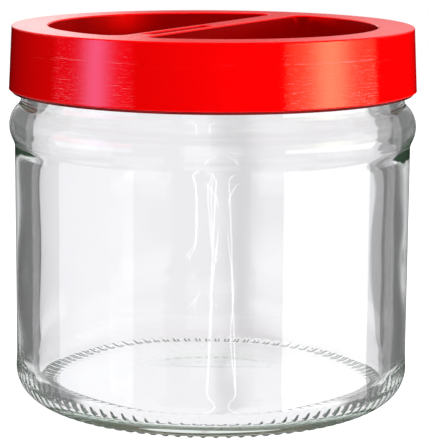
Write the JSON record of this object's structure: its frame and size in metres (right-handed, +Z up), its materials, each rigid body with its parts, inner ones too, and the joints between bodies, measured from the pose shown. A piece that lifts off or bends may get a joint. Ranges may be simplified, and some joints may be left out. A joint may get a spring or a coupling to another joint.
{
  "type": "sourdough starter jar",
  "caption": "Short round clear glass jar with a screw-on red plastic lid, recessed on top with a straight grip bar, for keeping sourdough starter.",
  "frame": {"origin": "centre of the plane that the jar stands on, on the jar's axis", "axes": "+Z up along the jar's axis; -Y faces the picture's camera, +X is to the right in the picture"},
  "size_m": [0.104, 0.104, 0.096],
  "materials": {
    "clear_glass": "polished clear soda-lime glass with a faint green edge",
    "red_plastic": "moulded red plastic with a soft satin gloss",
    "seal_rubber": "smooth off-white food-grade elastomer"
  },
  "bodies": {
    "jar": {"glass_jar": "clear_glass"},
    "seal": {"seal_ring": "seal_rubber"},
    "lid": {"lid": "red_plastic"}
  },
  "joints": [
    {"name": "lid_rise", "type": "slide", "parent": "jar", "child": "seal", "axis": [0, 0, 1], "range_m": [0, 0.015]},
    {"name": "lid_turn", "type": "hinge", "parent": "seal", "child": "lid", "pos_m": [0, 0, 0.0942], "axis": [0, 0, 1], "range_deg": [0, 900]}
  ],
  "couplings": [
    {"joint": "lid_rise", "follows": "lid_turn", "m_per_rad": 0.0009549}
  ]
}
